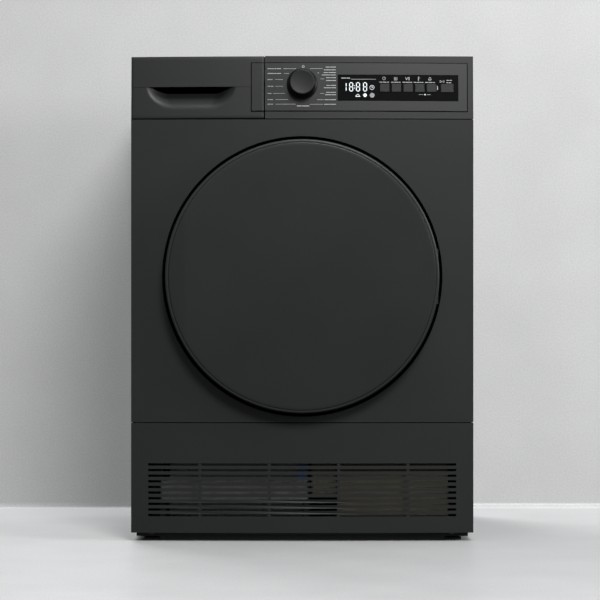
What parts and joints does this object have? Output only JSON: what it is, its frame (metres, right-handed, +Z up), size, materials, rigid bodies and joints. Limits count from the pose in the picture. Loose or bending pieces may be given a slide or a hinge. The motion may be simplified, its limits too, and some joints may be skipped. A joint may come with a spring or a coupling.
{
  "type": "clothes dryer",
  "caption": "Free-standing front-loading heat pump clothes dryer with a round solid door, a program knob and keys on a leaning console, a pull-out water tank and a louvred kick plate.",
  "frame": {"origin": "floor, under the middle of the overall box", "axes": "+Z up; the door faces -Y; +X is to the right for someone facing the door"},
  "size_m": [0.596, 0.609, 0.845],
  "materials": {
    "cabinet_paint": "matt anthracite enamel",
    "front_plastic": "fine grained anthracite",
    "door_skin": "satin anthracite",
    "worktop_board": "fine grained laminate",
    "console": "satin anthracite with white print",
    "display_gloss": "black gloss",
    "knob": "satin",
    "keys": "satin",
    "galvanised": "spangled zinc",
    "duct": "zinc plated",
    "stainless": "brushed",
    "zinc": "zinc plated",
    "light_plastic": "moulded light grey",
    "housing_plastic": "moulded dark grey",
    "tank_plastic": "translucent white",
    "filter": "moulded with fine mesh",
    "lever_blue": "moulded blue",
    "rubber": "matt",
    "felt": "wool felt",
    "motor": "laminated core and end shields",
    "compressor_black": "gloss black",
    "fins": "bright fins",
    "copper": "copper tube",
    "board": "green circuit board"
  },
  "bodies": {
    "cabinet": {"left_side_panel": "cabinet_paint", "right_side_panel": "cabinet_paint", "front_panel": "cabinet_paint", "opening_seal": "rubber", "rear_panel": "galvanised", "rear_duct_cover": "duct", "rear_screws": "zinc", "worktop": "worktop_board", "top_rails": "galvanised", "base_tray": "housing_plastic", "front_bulkhead": "light_plastic", "drum_felt": "felt", "hinge_plate": "galvanised", "control_fascia": "front_plastic", "console_plate": "console", "display_window": "display_gloss", "control_board": "board", "tank_tray": "housing_plastic", "bearing_housing": "galvanised", "drive_motor": "motor", "drive_belt": "rubber", "compressor": "compressor_black", "heat_exchangers": "fins", "refrigerant_pipes": "copper", "heat_pump_cover": "housing_plastic", "exchanger_cover": "housing_plastic", "drain_pump": "housing_plastic", "drain_pipe": "rubber"},
    "door": {"door_frame": "front_plastic", "door_disc": "door_skin", "door_bowl": "light_plastic", "door_hinge": "zinc", "latch_hook": "zinc", "door_screws": "zinc"},
    "drum": {"drum_shell": "stainless", "drum_rear_plate": "stainless", "drum_lifters": "light_plastic"},
    "left_roller": {"left_drum_roller": "rubber"},
    "right_roller": {"right_drum_roller": "rubber"},
    "rotor": {"motor_rotor": "zinc", "process_fan": "housing_plastic"},
    "tensioner": {"idler_arm": "zinc"},
    "idler": {"idler_pulley": "rubber"},
    "filter": {"lint_filter": "filter"},
    "tank_drawer": {"water_tank": "tank_plastic", "drawer_front": "front_plastic"},
    "kick_flap": {"kick_plate": "front_plastic"},
    "knob": {"program_knob": "knob"},
    "lever_left": {"left_lever": "lever_blue"},
    "lever_right": {"right_lever": "lever_blue"},
    "key_1": {"option_key_1": "keys"},
    "key_2": {"option_key_2": "keys"},
    "key_3": {"option_key_3": "keys"},
    "key_4": {"option_key_4": "keys"},
    "key_5": {"option_key_5": "keys"},
    "key_start": {"start_key": "keys"},
    "leg_front_left": {"foot_front_left": "rubber"},
    "leg_front_right": {"foot_front_right": "rubber"},
    "leg_rear_left": {"foot_rear_left": "rubber"},
    "leg_rear_right": {"foot_rear_right": "rubber"}
  },
  "joints": [
    {"name": "door_hinge_axis", "type": "hinge", "parent": "cabinet", "child": "door", "pos_m": [0.225, -0.2845, 0.461], "axis": [0, 0, 1], "range_deg": [0, 120]},
    {"name": "drum_spin", "type": "hinge", "parent": "cabinet", "child": "drum", "pos_m": [0, 0.02, 0.461], "axis": [0, 1, 0], "continuous": true},
    {"name": "left_roller_spin", "type": "hinge", "parent": "cabinet", "child": "left_roller", "pos_m": [-0.167, -0.148, 0.19356], "axis": [0, 1, 0], "continuous": true},
    {"name": "right_roller_spin", "type": "hinge", "parent": "cabinet", "child": "right_roller", "pos_m": [0.167, -0.148, 0.19356], "axis": [0, 1, 0], "continuous": true},
    {"name": "rotor_spin", "type": "hinge", "parent": "cabinet", "child": "rotor", "pos_m": [0.19, 0.04, 0.088], "axis": [0, 1, 0], "continuous": true},
    {"name": "tensioner_pivot", "type": "hinge", "parent": "cabinet", "child": "tensioner", "pos_m": [0.045, -0.041, 0.11], "axis": [0, 1, 0], "range_deg": [0, 20], "stiffness_Nm_per_rad": 2, "springref_deg": -22.92},
    {"name": "idler_spin", "type": "hinge", "parent": "tensioner", "child": "idler", "pos_m": [0.1, -0.03, 0.112], "axis": [0, 1, 0], "continuous": true},
    {"name": "filter_lift", "type": "slide", "parent": "cabinet", "child": "filter", "axis": [0, 0, 1], "range_m": [0, 0.13]},
    {"name": "tank_pull", "type": "slide", "parent": "cabinet", "child": "tank_drawer", "axis": [0, -1, 0], "range_m": [0, 0.46]},
    {"name": "kick_flap_hinge", "type": "hinge", "parent": "cabinet", "child": "kick_flap", "pos_m": [0, -0.257, 0.019], "axis": [1, 0, 0], "range_deg": [0, 90]},
    {"name": "knob_turn", "type": "hinge", "parent": "cabinet", "child": "knob", "pos_m": [0, -0.26723, 0.79577], "axis": [0, 0.9962, -0.0872], "continuous": true},
    {"name": "left_lever_turn", "type": "hinge", "parent": "cabinet", "child": "lever_left", "pos_m": [-0.238, -0.233, 0.123], "axis": [0, 1, 0], "range_deg": [0, 90]},
    {"name": "right_lever_turn", "type": "hinge", "parent": "cabinet", "child": "lever_right", "pos_m": [0, -0.233, 0.123], "axis": [0, 1, 0], "range_deg": [0, 90]},
    {"name": "key_1_press", "type": "slide", "parent": "cabinet", "child": "key_1", "axis": [0, 0.9962, -0.0872], "range_m": [0, 0.001], "stiffness_N_per_m": 800, "springref_m": -0.001},
    {"name": "key_2_press", "type": "slide", "parent": "cabinet", "child": "key_2", "axis": [0, 0.9962, -0.0872], "range_m": [0, 0.001], "stiffness_N_per_m": 800, "springref_m": -0.001},
    {"name": "key_3_press", "type": "slide", "parent": "cabinet", "child": "key_3", "axis": [0, 0.9962, -0.0872], "range_m": [0, 0.001], "stiffness_N_per_m": 800, "springref_m": -0.001},
    {"name": "key_4_press", "type": "slide", "parent": "cabinet", "child": "key_4", "axis": [0, 0.9962, -0.0872], "range_m": [0, 0.001], "stiffness_N_per_m": 800, "springref_m": -0.001},
    {"name": "key_5_press", "type": "slide", "parent": "cabinet", "child": "key_5", "axis": [0, 0.9962, -0.0872], "range_m": [0, 0.001], "stiffness_N_per_m": 800, "springref_m": -0.001},
    {"name": "key_start_press", "type": "slide", "parent": "cabinet", "child": "key_start", "axis": [0, 0.9962, -0.0872], "range_m": [0, 0.001], "stiffness_N_per_m": 800, "springref_m": -0.001},
    {"name": "front_left_screw", "type": "slide", "parent": "cabinet", "child": "leg_front_left", "axis": [0, 0, -1], "range_m": [0, 0.012]},
    {"name": "front_right_screw", "type": "slide", "parent": "cabinet", "child": "leg_front_right", "axis": [0, 0, -1], "range_m": [0, 0.012]},
    {"name": "rear_left_screw", "type": "slide", "parent": "cabinet", "child": "leg_rear_left", "axis": [0, 0, -1], "range_m": [0, 0.012]},
    {"name": "rear_right_screw", "type": "slide", "parent": "cabinet", "child": "leg_rear_right", "axis": [0, 0, -1], "range_m": [0, 0.012]}
  ],
  "couplings": [
    {"joint": "left_roller_spin", "follows": "drum_spin", "ratio": -8},
    {"joint": "right_roller_spin", "follows": "drum_spin", "ratio": -8},
    {"joint": "rotor_spin", "follows": "drum_spin", "ratio": 27.31},
    {"joint": "idler_spin", "follows": "drum_spin", "ratio": -18.39}
  ]
}
